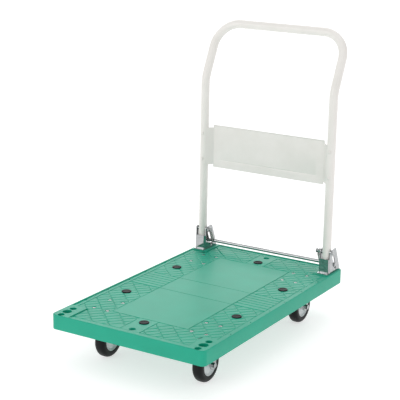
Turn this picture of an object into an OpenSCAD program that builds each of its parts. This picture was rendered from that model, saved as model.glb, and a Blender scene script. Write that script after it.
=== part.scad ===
// Folding platform truck: a moulded resin platform on two fixed and two swivel casters,
// with a bent tube handle that folds down over the platform about its brackets.
// +X is to the right, +Y towards the handle and +Z up. The origin lies on the floor,
// at the middle of the whole truck's outline. All sizes are in millimetres.

/* [Platform] */
// Width of the platform
deck_w = 480; // [420:5:600]
// Length of the platform
deck_l = 790; // [700:5:950]
// Height of the platform's outer rim
rim_h = 42; // [36:1:60]
// Thickness of the rim wall
rim_t = 4; // [3:0.5:6]
// Thickness of the top skin
skin_t = 5; // [4:0.5:8]
// Radius of the platform's corners, seen from above
corner_r = 14; // [8:1:25]
// Thickness of the ribs under the skin
rib_t = 3; // [2:0.5:5]
// Depth of the ribs under the skin
rib_h = 26; // [14:1:27]
// Nearest distance between two ribs
rib_pitch = 62; // [50:2:100]
// Thickness of the bolting seats, from the top face down
seat_t = 18; // [12:1:20]

/* [Top face] */
// How far the top face lies below the lip and the corner seats
field_drop = 2.5; // [1:0.5:4]
// Width of the lip round the platform
lip_w = 4; // [3:0.5:6]
// Diameter of the anti-slip pads
pad_d = 27; // [16:1:36]
// Height of the anti-slip pads
pad_h = 5; // [4:0.5:6]
// How far the anti-slip pads stand above the top face
pad_proud = 2.5; // [0.5:0.5:3]
// Distance from the side edge to the middle of a side pad
pad_side_in = 61; // [50:1:75]
// Distance from the platform's middle to the side pads, along its length
pad_side_off = 131; // [100:1:160]
// Distance from an end edge to the middle of an end pad
pad_end_in = 88; // [70:1:100]
// Diameter of the small moulded holes
small_hole_d = 18; // [16:1:20]
// Distance from an end edge to the moulded hole in its middle
end_hole_in = 34; // [20:1:50]
// Diameter of the wide hole in each front corner
wide_hole_d = 25; // [20:1:28]
// Width of the smooth middle field
field_w = 240; // [180:2:250]
// Distance from an end edge to the smooth middle field
field_end_in = 113; // [110:1:140]
// Length of the middle band of the smooth field
band_l = 108; // [80:2:160]
// Distance from the side edge to the ends of the band's grooves
band_side_in = 18; // [12:1:40]
// Width of the grooves in the top face
groove_w = 3; // [2:0.5:4]

/* [Casters] */
// Diameter of the wheels
wheel_d = 100; // [80:5:125]
// Width of the tyres
tyre_w = 32; // [26:1:38]
// Thickness of the tyres
tyre_t = 14; // [10:1:18]
// Height of the caster head above the tyre
head_h = 32; // [30:1:40]
// Distance from the side edge to the middle of a caster
caster_side_in = 84; // [70:1:100]
// Distance from the front edge to the fixed casters' axle
caster_front_in = 146; // [120:1:180]
// Distance from the rear edge to the swivel axis
caster_rear_in = 148; // [135:1:180]
// Distance from the swivel axis back to the axle
trail = 37; // [25:1:42]
// Distance between the caster bolts, across the truck
bolt_span_x = 44; // [40:1:48]
// Distance between the caster bolts, along the truck
bolt_span_y = 73; // [70:1:80]
// Thickness of the caster's pressed steel
fork_t = 3; // [2:0.5:4]

/* [Handle] */
// Distance between the middles of the two uprights
handle_span = 428; // [360:1:430]
// Distance from the rear edge to the uprights
handle_in = 60; // [55:1:70]
// Outside diameter of the handle tube
tube_d = 25.4; // [22:0.1:28]
// Wall thickness of the handle tube
tube_t = 1.6; // [1.2:0.1:2.5]
// Height of the handle's pivot above the platform
pivot_h = 63; // [60:1:70]
// Height above the platform where the uprights bend back
kink_h = 535; // [450:5:620]
// Radius of the backward bend
kink_r = 90; // [60:5:120]
// Angle of the upper part from the vertical
lean = 25.5; // [10:0.5:35]
// How far the grip lies behind the uprights
reach = 77.3; // [70:0.1:110]
// Radius of the two top corners
top_r = 75; // [50:1:85]

/* [Handle panel] */
// Height of the panel
panel_h = 131.5; // [100:0.5:160]
// Height of the panel's lower edge above the platform
panel_low = 262.8; // [200:0.1:300]
// Thickness of the panel's sheet steel
sheet_t = 1.2; // [0.8:0.1:2]
// How far the panel's face lies behind the middle of the uprights
face_back = 8.5; // [6:0.5:10]
// Width of the slanted strip at each end of the panel
web_w = 16.5; // [12:0.5:24]
// Distance from the panel's edges to its rivets
rivet_in = 27; // [15:1:40]

/* [Brackets and lock] */
// Outside width of a bracket
bracket_w = 36; // [34:1:40]
// Thickness of the bracket's steel
bracket_t = 2.5; // [2:0.5:3]
// Height of the bracket's front wall
wall_h = 45; // [38:1:46]
// Gap between the upright and the bracket's front wall
wall_gap = 0.8; // [0.4:0.1:1.5]
// Distance between the two bolts of a bracket
bracket_bolt_span = 53; // [50:1:56]
// Distance from the rear edge to a bracket's rear bolt
bracket_bolt_in = 11; // [10:1:14]
// Diameter of the release bar
bar_d = 10; // [8:0.5:12]
// How far the release bar travels down its slot
bar_travel = 14; // [8:1:14]
// Angle of the slot from the vertical
slot_lean = 23; // [15:1:30]
// Distance from the pivot to the release bar at rest
bar_dist = 42.7; // [40:0.1:44]
// Angle at the pivot between straight down and the release bar
bar_angle = 25.5; // [22:0.5:30]

/* [Fits] */
// Diameter of the axle, pivot and bracket bolts
bolt_d = 8; // [6:0.5:8]
// Diameter of the bolts that hold the casters
caster_bolt_d = 6; // [5:0.5:8]
// Radial clearance of a running fit
run_fit = 0.05; // [0.02:0.01:0.1]
// Radial clearance of a bolt in its hole
bolt_fit = 0.3; // [0.1:0.05:0.5]
// Gap between pieces that pass each other
pass_gap = 0.3; // [0.2:0.05:0.5]

/* [Hidden] */
$fn = 64;

left = -1;
right = 1;
cut = 1; // how far a cutting shape runs past the face it cuts

// Heights
wheel_r = wheel_d / 2;
seat_z = wheel_d + head_h;
deck_z = seat_z + seat_t;
field_z = deck_z - field_drop;
rim_z = deck_z - rim_h;
pivot_z = deck_z + pivot_h;

// Places along the truck
tube_r = tube_d / 2;
depth_all = deck_l - handle_in + reach + tube_r;
front_y = -depth_all / 2;
rear_y = front_y + deck_l;
mid_y = front_y + deck_l / 2;
handle_y = rear_y - handle_in;
front_axle_y = front_y + caster_front_in;
swivel_y = rear_y - caster_rear_in;
rear_axle_y = swivel_y + trail;

// Places across the truck
caster_x = deck_w / 2 - caster_side_in;
handle_x = handle_span / 2;

// Fasteners
function hex_radius(d) = d * 0.94;
function nut_height(d) = d * 0.8;
function head_radius(d) = d * 0.87;
function head_height(d) = d * 0.5;
bolt_r = bolt_d / 2;
bolt_hole_r = bolt_r + bolt_fit;
hex_r = hex_radius(bolt_d);
hex_h = nut_height(bolt_d);
plate_hole_r = caster_bolt_d / 2 + bolt_fit;
pocket_h = head_height(caster_bolt_d) + 1; // depth of the pocket round a caster bolt's head
tail = 3; // thread that stands out of a nut

// Corner seats, for the brackets at the rear and a second handle at the front
corner_w = deck_w / 2 - handle_x + bracket_w / 2 + 11;
corner_l = bracket_bolt_in + bracket_bolt_span + 24;

// Casters
fork_side_gap = 4;
fork_in = tyre_w / 2 + fork_side_gap;
fork_out = fork_in + fork_t;
axle_boss_r = 13;
plate_w = bolt_span_x + 18;
plate_l = bolt_span_y + 21;
sleeve_r = bolt_r + 2;
rim_r = wheel_r - tyre_t;
tread_r = min(9, tyre_w / 2 - 3, tyre_t - 3);
hub_r = sleeve_r + 6;
rim_w = tyre_w - 4;
rim_wall = 6;
web_t = 7;
crown_z = wheel_d + 6;
crown_top = crown_z + fork_t;
crown_r = 28;
ball_d = 7;
ball_ring_r = 19;
ball_count = 16;
race_z = crown_top + ball_d + pass_gap;
race_r = ball_ring_r + ball_d;
shield_t = 2;
kingpin_r = 5;
kingpin_head_r = 9;
kingpin_head_h = 4;

// Handle
kink_z = deck_z + kink_h;
bend_run = kink_r * tan(lean / 2);
lean_l = reach / sin(lean);
lap = 1; // how far a straight length runs into a bend
bend_extra = 0.2; // how much fatter a bend is than the straights that end in it
inner_w = bracket_w - 2 * bracket_t;
cross_sleeve_r = bolt_r + 2.2;
plug_t = 2;
swing_r = bar_dist - bar_d / 2 - pass_gap;
stub = sqrt(swing_r * swing_r - tube_r * tube_r);
foot_z = pivot_z - stub;

// Panel
panel_z = deck_z + panel_low;
face_y = handle_y + face_back;
wrap_in = tube_r + 0.1;
wrap_out = wrap_in + sheet_t;
web_angle = 30; // where the strip leaves the upright, forward of its inner side
wrap_end = 125; // where the wrap ends, past the front of the upright
face_half = handle_x - wrap_in * cos(web_angle) - web_w;
corner_notch = 8;
rivet_r = 2.4;
rivet_head_r = 4.5;
rivet_head_h = 2.2;
rivet_bulb_h = 3;
rivet_bulb_in = 0.9; // how far the blind end starts behind the tube's wall

// Brackets, as distances from the upright's middle
wall_y = tube_r + wall_gap + bracket_t;
bar_y = bar_dist * sin(bar_angle);
bar_z = -bar_dist * cos(bar_angle);
slot_up = 27;
base_front = 8; // how far the base plate runs in front of the wall
base_t = 3;
bracket_corner_r = 6;
rear_bolt_y = rear_y - bracket_bolt_in;
front_bolt_y = rear_bolt_y - bracket_bolt_span;
pin_out = 16; // how far the pivot bolt runs inwards past the bracket
bar_clip_t = 2;
bar_half = handle_x + bracket_w / 2 + pass_gap + bar_clip_t + 1;

// Springs
wire_d = 1.4;
spring_x = handle_x - bracket_w / 2 - hex_h - 3.5;
coil_r = 4.2;
coil_pitch = wire_d * 0.96;
pin_loop_r = bolt_r + pass_gap + wire_d / 2;
bar_loop_r = bar_d / 2 + pass_gap + wire_d / 2;

// ---------- shared shapes ----------

module on_side(side) {
    mirror([side < 0 ? 1 : 0, 0, 0]) children();
}

module both_sides() {
    on_side(right) children();
    on_side(left) children();
}

// A cylinder along +X, from x to x + l
module rod_x(r, x, l, y, z) {
    translate([x, y, z]) rotate([0, 90, 0]) cylinder(r = r, h = l);
}

// A side outline drawn in Y and Z, given a thickness from x to x + t
module side_plate(x, t) {
    translate([x, 0, 0]) rotate([90, 0, 90]) linear_extrude(t) children();
}

module rounded_rect(w, l, r) {
    square([w - 2 * r, l], center = true);
    square([w, l - 2 * r], center = true);
    for (x = [-1, 1]) {
        for (y = [-1, 1]) {
            translate([x * (w / 2 - r), y * (l / 2 - r)]) circle(r);
        }
    }
}

function arc(cy, cz, r, from, to, steps) =
    [for (i = [0:steps]) let (a = from + (to - from) * i / steps) [cy + r * cos(a), cz + r * sin(a)]];

// The four bolts of one caster plate, round the point given
module at_plate_bolts(y) {
    for (dx = [-1, 1]) {
        for (dy = [-1, 1]) {
            translate([caster_x + dx * bolt_span_x / 2, y + dy * bolt_span_y / 2, 0]) children();
        }
    }
}

module at_all_plate_bolts() {
    both_sides() {
        at_plate_bolts(front_axle_y) children();
        at_plate_bolts(swivel_y) children();
    }
}

module at_bracket_bolts() {
    both_sides() {
        for (y = [front_bolt_y, rear_bolt_y]) translate([handle_x, y, 0]) children();
    }
}

// The matching holes at the front corners, for a second handle
module at_front_holes() {
    both_sides() {
        for (y = [2 * mid_y - front_bolt_y, 2 * mid_y - rear_bolt_y]) translate([handle_x, y, 0]) children();
    }
}

// A low round head with its shank below, its seat at z = 0
module button_bolt(d, shank) {
    cylinder(r1 = head_radius(d), r2 = head_radius(d) * 0.7, h = head_height(d));
    translate([0, 0, -shank]) cylinder(d = d, h = shank + 0.5);
}

module hex_nut(d) {
    difference() {
        cylinder(r = hex_radius(d), h = nut_height(d), $fn = 6);
        translate([0, 0, -cut]) cylinder(r = d / 2 + run_fit, h = nut_height(d) + 2 * cut);
    }
}

// ---------- platform ----------

// The sunk top face: all that lies inside the lip, less the corner seats
module field_plan() {
    difference() {
        rounded_rect(deck_w - 2 * lip_w, deck_l - 2 * lip_w, corner_r - lip_w);
        for (x = [-1, 1]) {
            for (y = [-1, 1]) {
                translate([x * deck_w / 2, y * deck_l / 2]) square([2 * corner_w, 2 * corner_l], center = true);
            }
        }
    }
}

module deck_shell() {
    translate([0, mid_y, rim_z]) difference() {
        linear_extrude(rim_h) rounded_rect(deck_w, deck_l, corner_r);
        translate([0, 0, -cut]) linear_extrude(rim_h - field_drop - skin_t + cut)
            rounded_rect(deck_w - 2 * rim_t, deck_l - 2 * rim_t, corner_r - rim_t);
        translate([0, 0, rim_h - field_drop]) linear_extrude(field_drop + cut) field_plan();
    }
}

module deck_ribs() {
    long_gaps = floor((deck_w - 2 * rim_t) / rib_pitch);
    cross_gaps = floor((deck_l - 2 * rim_t) / rib_pitch);
    long_step = (deck_w - 2 * rim_t) / long_gaps;
    cross_step = (deck_l - 2 * rim_t) / cross_gaps;
    rib_z = field_z - skin_t - rib_h;
    for (i = [1:long_gaps - 1]) {
        translate([-deck_w / 2 + rim_t + i * long_step - rib_t / 2, front_y + rim_t / 2, rib_z])
            cube([rib_t, deck_l - rim_t, rib_h + skin_t / 2]);
    }
    for (i = [1:cross_gaps - 1]) {
        translate([-deck_w / 2 + rim_t / 2, front_y + rim_t + i * cross_step - rib_t / 2, rib_z])
            cube([deck_w - rim_t, rib_t, rib_h + skin_t / 2]);
    }
}

// The thick places that casters, brackets and a second handle bolt to
module deck_seats() {
    seat_h = field_z - skin_t / 2 - seat_z;
    inner = rim_t / 2;
    both_sides() {
        for (y = [front_axle_y, swivel_y]) {
            translate([caster_x - plate_w / 2 - 6, y - plate_l / 2 - 6, seat_z])
                cube([plate_w + 12, plate_l + 12, seat_h]);
        }
        for (y = [front_y + inner, rear_y - corner_l]) {
            translate([deck_w / 2 - corner_w, y, seat_z]) cube([corner_w - inner, corner_l - inner, seat_h]);
        }
    }
}

// Room below the seats, cut out of the ribs
module seat_room() {
    room_h = seat_z - rim_z + cut;
    both_sides() {
        for (y = [front_axle_y, swivel_y]) {
            translate([caster_x - plate_w / 2 - 6, y - plate_l / 2 - 6, rim_z - cut])
                cube([plate_w + 12, plate_l + 12, room_h]);
        }
        for (y = [front_y + rim_t, rear_y - corner_l]) {
            translate([deck_w / 2 - corner_w, y, rim_z - cut])
                cube([corner_w - rim_t, corner_l - rim_t, room_h]);
        }
    }
}

// The grooves that frame the smooth middle field and its band
module field_grooves() {
    groove_h = 1;
    field_l = deck_l - 2 * field_end_in;
    frame = [field_w + groove_w, groove_w];
    translate([0, mid_y, field_z - groove_h]) linear_extrude(groove_h + cut) {
        for (x = [-1, 1]) translate([x * field_w / 2, 0]) square([groove_w, field_l + groove_w], center = true);
        for (y = [-1, 1]) {
            translate([0, y * field_l / 2]) square(frame, center = true);
            translate([0, y * band_l / 2]) square([deck_w - 2 * band_side_in, groove_w], center = true);
        }
    }
}

module at_pads() {
    both_sides() {
        for (dy = [-1, 1]) translate([deck_w / 2 - pad_side_in, mid_y + dy * pad_side_off, 0]) children();
    }
    for (y = [front_y + pad_end_in, rear_y - pad_end_in]) translate([0, y, 0]) children();
}

module deck_holes() {
    pad_z = field_z + pad_proud - pad_h;
    at_pads() translate([0, 0, pad_z]) cylinder(r = pad_d / 2 + 0.2, h = pad_h + cut);
    for (y = [front_y + end_hole_in, rear_y - end_hole_in]) {
        translate([0, y, field_z - skin_t - cut]) cylinder(r = small_hole_d / 2, h = skin_t + 2 * cut);
    }
    at_all_plate_bolts() {
        translate([0, 0, seat_z - cut]) cylinder(r = plate_hole_r, h = seat_t + 2 * cut);
        translate([0, 0, field_z - pocket_h]) cylinder(r = head_radius(caster_bolt_d) + 1, h = pocket_h + cut);
    }
    at_bracket_bolts() translate([0, 0, seat_z - cut]) cylinder(r = bolt_hole_r, h = seat_t + 2 * cut);
    at_front_holes() {
        translate([0, 0, seat_z - cut]) cylinder(r = bolt_hole_r, h = seat_t + 2 * cut);
        translate([0, 0, deck_z - seat_t / 2]) cylinder(r = small_hole_d / 2, h = seat_t);
    }
    both_sides() {
        translate([handle_x, front_y + bracket_bolt_in + bracket_bolt_span / 2, deck_z - seat_t / 2])
            cylinder(r = wide_hole_d / 2, h = seat_t);
    }
}

module deck_moulding() {
    color([0.25, 0.66, 0.55]) difference() {
        union() {
            deck_shell();
            difference() {
                deck_ribs();
                seat_room();
            }
            deck_seats();
        }
        deck_holes();
        field_grooves();
    }
}

module anti_slip_pads() {
    color([0.08, 0.08, 0.08]) at_pads() translate([0, 0, field_z + pad_proud - pad_h]) {
        cylinder(r = pad_d / 2, h = pad_h - 0.8);
        cylinder(r = pad_d / 2 - 0.8, h = pad_h);
    }
}

// ---------- caster fasteners ----------

module caster_bolts() {
    shank = field_z - pocket_h - seat_z + fork_t + nut_height(caster_bolt_d) + tail;
    color([0.75, 0.76, 0.78]) at_all_plate_bolts() translate([0, 0, field_z - pocket_h])
        button_bolt(caster_bolt_d, shank);
}

module caster_nuts() {
    color([0.75, 0.76, 0.78]) at_all_plate_bolts()
        translate([0, 0, seat_z - fork_t - nut_height(caster_bolt_d)]) hex_nut(caster_bolt_d);
}

// ---------- shared caster pieces ----------

module plate_blank(y) {
    translate([caster_x, y, seat_z - fork_t]) linear_extrude(fork_t) difference() {
        rounded_rect(plate_w, plate_l, 6);
        for (dx = [-1, 1]) {
            for (dy = [-1, 1]) {
                translate([dx * bolt_span_x / 2, dy * bolt_span_y / 2]) circle(plate_hole_r);
            }
        }
    }
}

module leg_pair(y) {
    difference() {
        for (x = [-fork_out, fork_in]) side_plate(caster_x + x, fork_t) children();
        rod_x(bolt_hole_r, caster_x - fork_out - cut, 2 * (fork_out + cut), y, wheel_r);
    }
}

module axle(side, y) {
    color([0.75, 0.76, 0.78]) on_side(side) {
        rod_x(bolt_r, caster_x - fork_out - hex_h - tail, 2 * fork_out + hex_h + tail + 0.5, y, wheel_r);
        translate([caster_x + fork_out, y, wheel_r]) rotate([0, 90, 0]) cylinder(r = hex_r, h = hex_h, $fn = 6);
    }
}

module axle_nut(side, y) {
    color([0.75, 0.76, 0.78]) on_side(side) translate([caster_x - fork_out - hex_h, y, wheel_r])
        rotate([0, 90, 0]) hex_nut(bolt_d);
}

module sleeve(side, y) {
    color([0.7, 0.71, 0.73]) on_side(side) difference() {
        rod_x(sleeve_r, caster_x - fork_in, 2 * fork_in, y, wheel_r);
        rod_x(bolt_r + 0.2, caster_x - fork_in - cut, 2 * (fork_in + cut), y, wheel_r);
    }
}

// A wheel's outline is drawn with its radius along X and its width along Y
module spun_at(side, y) {
    on_side(side) translate([caster_x, y, wheel_r]) rotate([0, 90, 0]) rotate_extrude() children();
}

module wheel_rim(side, y) {
    hub_w = 2 * (fork_in - 1);
    color([0.8, 0.81, 0.81]) spun_at(side, y) {
        translate([rim_r - rim_wall, -rim_w / 2]) square([rim_wall, rim_w]);
        translate([hub_r - 1, -web_t / 2]) square([rim_r - hub_r, web_t]);
        translate([sleeve_r + run_fit, -hub_w / 2]) square([hub_r - sleeve_r - run_fit, hub_w]);
    }
}

module tyre(side, y) {
    flat_t = tyre_t - tread_r;
    color([0.09, 0.09, 0.1]) spun_at(side, y) difference() {
        union() {
            translate([rim_r - 1, -tyre_w / 2]) square([flat_t + 1, tyre_w]);
            translate([rim_r - 1, tread_r - tyre_w / 2]) square([tyre_t + 1, tyre_w - 2 * tread_r]);
            for (s = [-1, 1]) translate([wheel_r - tread_r, s * (tyre_w / 2 - tread_r)]) circle(tread_r);
        }
        translate([0, -tyre_w]) square([rim_r + run_fit, 2 * tyre_w]);
    }
}

// ---------- fixed casters ----------

module front_fork(side) {
    top_y = min(26, plate_l / 2 - 6);
    color([0.72, 0.73, 0.75]) on_side(side) {
        plate_blank(front_axle_y);
        leg_pair(front_axle_y) {
            polygon([
                [front_axle_y - top_y, seat_z - fork_t / 2], [front_axle_y + top_y, seat_z - fork_t / 2],
                [front_axle_y + axle_boss_r, wheel_r], [front_axle_y - axle_boss_r, wheel_r]
            ]);
            translate([front_axle_y, wheel_r]) circle(axle_boss_r);
        }
    }
}

// ---------- swivel casters ----------

module rear_plate(side) {
    color([0.72, 0.73, 0.75]) on_side(side) difference() {
        union() {
            plate_blank(swivel_y);
            translate([caster_x, swivel_y, race_z]) cylinder(r = race_r, h = seat_z - fork_t / 2 - race_z);
            translate([caster_x, swivel_y, race_z - ball_d / 2])
                cylinder(r = race_r, h = ball_d);
        }
        translate([caster_x, swivel_y, race_z - ball_d / 2 - cut])
            cylinder(r = race_r - shield_t, h = ball_d / 2 + cut);
        translate([caster_x, swivel_y, race_z - cut])
            cylinder(r = kingpin_r + run_fit, h = seat_z - race_z + 2 * cut);
        translate([caster_x, swivel_y, seat_z - fork_t])
            cylinder(r1 = kingpin_r + run_fit, r2 = kingpin_r + fork_t + run_fit, h = fork_t + 0.01);
    }
}

module rear_kingpin(side) {
    head_z = crown_z - pass_gap - kingpin_head_h;
    color([0.68, 0.69, 0.71]) on_side(side) translate([caster_x, swivel_y, 0]) {
        translate([0, 0, head_z]) cylinder(r = kingpin_head_r, h = kingpin_head_h);
        translate([0, 0, head_z + 1]) cylinder(r = kingpin_r, h = seat_z - fork_t - head_z);
        translate([0, 0, seat_z - fork_t]) cylinder(r1 = kingpin_r, r2 = kingpin_r + fork_t, h = fork_t);
    }
}

module rear_balls(side) {
    color([0.8, 0.8, 0.82]) on_side(side) translate([caster_x, swivel_y, crown_top + ball_d / 2]) {
        for (i = [0:ball_count - 1]) rotate(i * 360 / ball_count) translate([ball_ring_r, 0]) sphere(d = ball_d);
    }
}

module rear_fork(side) {
    crown_front = crown_r - 4;
    crown_back = trail - 3;
    color([0.72, 0.73, 0.75]) on_side(side) {
        translate([caster_x, swivel_y, crown_z]) linear_extrude(fork_t) difference() {
            union() {
                circle(crown_r);
                translate([-fork_out, -crown_front]) square([2 * fork_out, crown_front + crown_back]);
            }
            circle(kingpin_r + run_fit);
        }
        leg_pair(rear_axle_y) {
            polygon([
                [swivel_y - crown_front, crown_top - fork_t / 2], [swivel_y + crown_back, crown_top - fork_t / 2],
                [rear_axle_y + axle_boss_r, wheel_r], [rear_axle_y - axle_boss_r, wheel_r],
                [swivel_y - crown_front, crown_z - 8]
            ]);
            translate([rear_axle_y, wheel_r]) circle(axle_boss_r);
        }
    }
}

// ---------- brackets ----------

// A cheek's outline: front wall, rounded shoulder at the pivot, lobe and long rear edge
function cheek_outline() = concat(
    [[handle_y - wall_y, deck_z], [handle_y - wall_y, deck_z + wall_h]],
    [[handle_y - wall_y + bracket_t + 1, deck_z + wall_h]],
    arc(handle_y, pivot_z, 10, 180, 115, 5),
    arc(handle_y + 18, pivot_z + 1, 10, 100, 20, 6),
    [[rear_y - 14, deck_z + 25], [rear_y - 9, deck_z + 12], [rear_y - 7, deck_z]]
);

// The channel's outline from above: open at the rear, with rounded front corners
module channel_plan() {
    y0 = handle_y - wall_y;
    long = 2 * (rear_y - y0);
    translate([handle_x, y0 + long / 2]) difference() {
        rounded_rect(bracket_w, long, bracket_corner_r);
        translate([0, bracket_t]) rounded_rect(inner_w, long, bracket_corner_r - bracket_t);
    }
}

module slot_cut() {
    x0 = handle_x - bracket_w / 2 - cut;
    w = bracket_w + 2 * cut;
    slot_r = bar_d / 2 + pass_gap;
    down = bar_travel + pass_gap;
    translate([x0, handle_y + bar_y, pivot_z + bar_z]) rotate([slot_lean, 0, 0]) {
        translate([0, 0, slot_up]) rotate([0, 90, 0]) cylinder(r = slot_r, h = w);
        translate([0, 0, -down]) rotate([0, 90, 0]) cylinder(r = slot_r, h = w);
        translate([0, -slot_r, -down]) cube([w, 2 * slot_r, slot_up + down]);
    }
}

module bracket(side) {
    base_y = handle_y - wall_y - base_front;
    base_l = rear_y - 4 - base_y;
    color([0.74, 0.75, 0.77]) on_side(side) difference() {
        union() {
            intersection() {
                translate([0, 0, deck_z]) linear_extrude(2 * pivot_h) channel_plan();
                side_plate(handle_x - bracket_w / 2 - cut, bracket_w + 2 * cut) polygon(cheek_outline());
            }
            translate([handle_x, base_y + base_l / 2, deck_z]) linear_extrude(base_t)
                rounded_rect(bracket_w, base_l, 3);
        }
        rod_x(bolt_r + run_fit, handle_x - bracket_w, 2 * bracket_w, handle_y, pivot_z);
        slot_cut();
        for (y = [front_bolt_y, rear_bolt_y]) {
            translate([handle_x, y, deck_z - cut]) cylinder(r = bolt_hole_r, h = base_t + 2 * cut);
        }
    }
}

module bracket_bolts() {
    color([0.75, 0.76, 0.78]) at_bracket_bolts() translate([0, 0, deck_z + base_t])
        button_bolt(bolt_d, base_t + seat_t + hex_h + tail);
}

module bracket_nuts() {
    color([0.75, 0.76, 0.78]) at_bracket_bolts() translate([0, 0, seat_z - hex_h]) hex_nut(bolt_d);
}

module pivot_bolts() {
    out_x = handle_x + bracket_w / 2;
    in_x = handle_x - bracket_w / 2 - pin_out;
    color([0.7, 0.71, 0.73]) both_sides() {
        rod_x(bolt_r, in_x, out_x - in_x + 0.5, handle_y, pivot_z);
        translate([out_x, handle_y, pivot_z]) rotate([0, 90, 0])
            cylinder(r1 = head_radius(bolt_d), r2 = head_radius(bolt_d) * 0.75, h = head_height(bolt_d));
    }
}

module pivot_nuts() {
    color([0.75, 0.76, 0.78]) both_sides() {
        translate([handle_x - bracket_w / 2 - hex_h, handle_y, pivot_z]) rotate([0, 90, 0]) hex_nut(bolt_d);
    }
}

// Small push-on caps that keep the spring loops on the pivot bolts
module spring_clips() {
    clip_t = 1.5;
    color([0.6, 0.61, 0.63]) both_sides() difference() {
        rod_x(bolt_r + 2.5, handle_x - bracket_w / 2 - pin_out + 1, clip_t, handle_y, pivot_z);
        rod_x(bolt_r + run_fit, handle_x - bracket_w / 2 - pin_out, clip_t + 2, handle_y, pivot_z);
    }
}

// ---------- release bar ----------

module release_bar() {
    color([0.72, 0.73, 0.75]) rod_x(bar_d / 2, -bar_half, 2 * bar_half, handle_y + bar_y, pivot_z + bar_z);
}

module bar_clips() {
    x0 = handle_x + bracket_w / 2 + pass_gap;
    color([0.6, 0.61, 0.63]) both_sides() difference() {
        rod_x(bar_d / 2 + 3, x0, bar_clip_t, handle_y + bar_y, pivot_z + bar_z);
        rod_x(bar_d / 2 + run_fit, x0 - cut, bar_clip_t + 2 * cut, handle_y + bar_y, pivot_z + bar_z);
    }
}

// A close-wound spring: a ribbed coil between a loop on the pivot bolt and one on the bar
module release_spring(side) {
    coil_0 = hex_r + pass_gap + wire_d / 2;
    coil_l = bar_dist - bar_loop_r - coil_0;
    turns = floor(coil_l / coil_pitch);
    color([0.78, 0.79, 0.8]) on_side(side) translate([spring_x, handle_y, pivot_z])
        rotate([180 + bar_angle, 0, 0]) {
            rotate([0, 90, 0]) rotate_extrude() translate([pin_loop_r, 0]) circle(d = wire_d);
            translate([0, 0, pin_loop_r]) cylinder(d = wire_d, h = coil_0 - pin_loop_r);
            translate([0, 0, bar_dist]) rotate([0, 90, 0]) rotate_extrude()
                translate([bar_loop_r, 0]) circle(d = wire_d);
            rotate_extrude() {
                for (i = [0:turns]) translate([coil_r, coil_0 + i * coil_pitch]) circle(d = wire_d);
                translate([coil_r - wire_d / 4, coil_0]) square([wire_d / 2, turns * coil_pitch]);
                for (z = [coil_0, coil_0 + turns * coil_pitch]) {
                    translate([0, z - wire_d / 2]) square([coil_r, wire_d]);
                }
            }
        }
}

// ---------- handle ----------

// The path of the bent tube as a solid of radius r, from the height given.
// The bends are a touch fatter, so that each straight length ends inside them.
module tube_path(r, z0) {
    bend = r + bend_extra;
    both_sides() {
        translate([handle_x, handle_y, z0]) cylinder(r = r, h = kink_z - bend_run + lap - z0);
        // backward bend
        translate([handle_x, handle_y + kink_r, kink_z - bend_run]) rotate([0, 0, 180]) rotate([90, 0, 90])
            rotate_extrude(angle = lean) translate([kink_r, 0]) circle(bend);
        // leaning length and top corner
        translate([handle_x, handle_y, kink_z]) rotate([-lean, 0, 0]) {
            translate([0, 0, bend_run - lap]) cylinder(r = r, h = lean_l - top_r - bend_run + 2 * lap);
            translate([-top_r, 0, lean_l - top_r]) rotate([90, 0, 0])
                rotate_extrude(angle = 90) translate([top_r, 0]) circle(bend);
        }
    }
    // grip
    translate([0, handle_y, kink_z]) rotate([-lean, 0, 0]) translate([top_r - handle_x - lap, 0, lean_l])
        rotate([0, 90, 0]) cylinder(r = r, h = 2 * (handle_x - top_r + lap));
}

module handle_tube() {
    color([0.93, 0.93, 0.91]) difference() {
        tube_path(tube_r, foot_z + plug_t);
        tube_path(tube_r - tube_t, foot_z);
        both_sides() {
            rod_x(cross_sleeve_r + run_fit, handle_x - tube_d, 2 * tube_d, handle_y, pivot_z);
            for (z = [panel_z + rivet_in, panel_z + panel_h - rivet_in]) {
                translate([handle_x, handle_y, z]) rotate([90, 0, 0])
                    cylinder(r = rivet_r + run_fit, h = tube_d);
            }
        }
    }
}

module pivot_sleeves() {
    half = inner_w / 2 - pass_gap;
    color([0.7, 0.71, 0.73]) both_sides() difference() {
        rod_x(cross_sleeve_r, handle_x - half, 2 * half, handle_y, pivot_z);
        rod_x(bolt_r + run_fit, handle_x - half - cut, 2 * (half + cut), handle_y, pivot_z);
    }
}

module tube_plugs() {
    plug_l = 14;
    color([0.1, 0.1, 0.1]) both_sides() translate([handle_x, handle_y, foot_z]) {
        cylinder(r = tube_r, h = plug_t);
        cylinder(r = tube_r - tube_t - run_fit, h = plug_l);
    }
}

// Half of the panel's outline from above, with the strip that wraps the upright
module panel_half_plan() {
    leave = [handle_x - wrap_in * cos(web_angle), handle_y - wrap_in * sin(web_angle)];
    leave_out = [handle_x - wrap_out * cos(web_angle), handle_y - wrap_out * sin(web_angle)];
    translate([0, face_y]) square([face_half, sheet_t]);
    polygon([
        leave, leave_out, [face_half - 0.2, face_y],
        [face_half, face_y + sheet_t], [face_half + 0.6, face_y + sheet_t * 0.9]
    ]);
    difference() {
        intersection() {
            translate([handle_x, handle_y]) circle(wrap_out);
            polygon(concat(
                [[handle_x, handle_y]],
                arc(handle_x, handle_y, 2 * wrap_out, 180 + web_angle, 180 + wrap_end, 6)
            ));
        }
        translate([handle_x, handle_y]) circle(wrap_in);
    }
}

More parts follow.
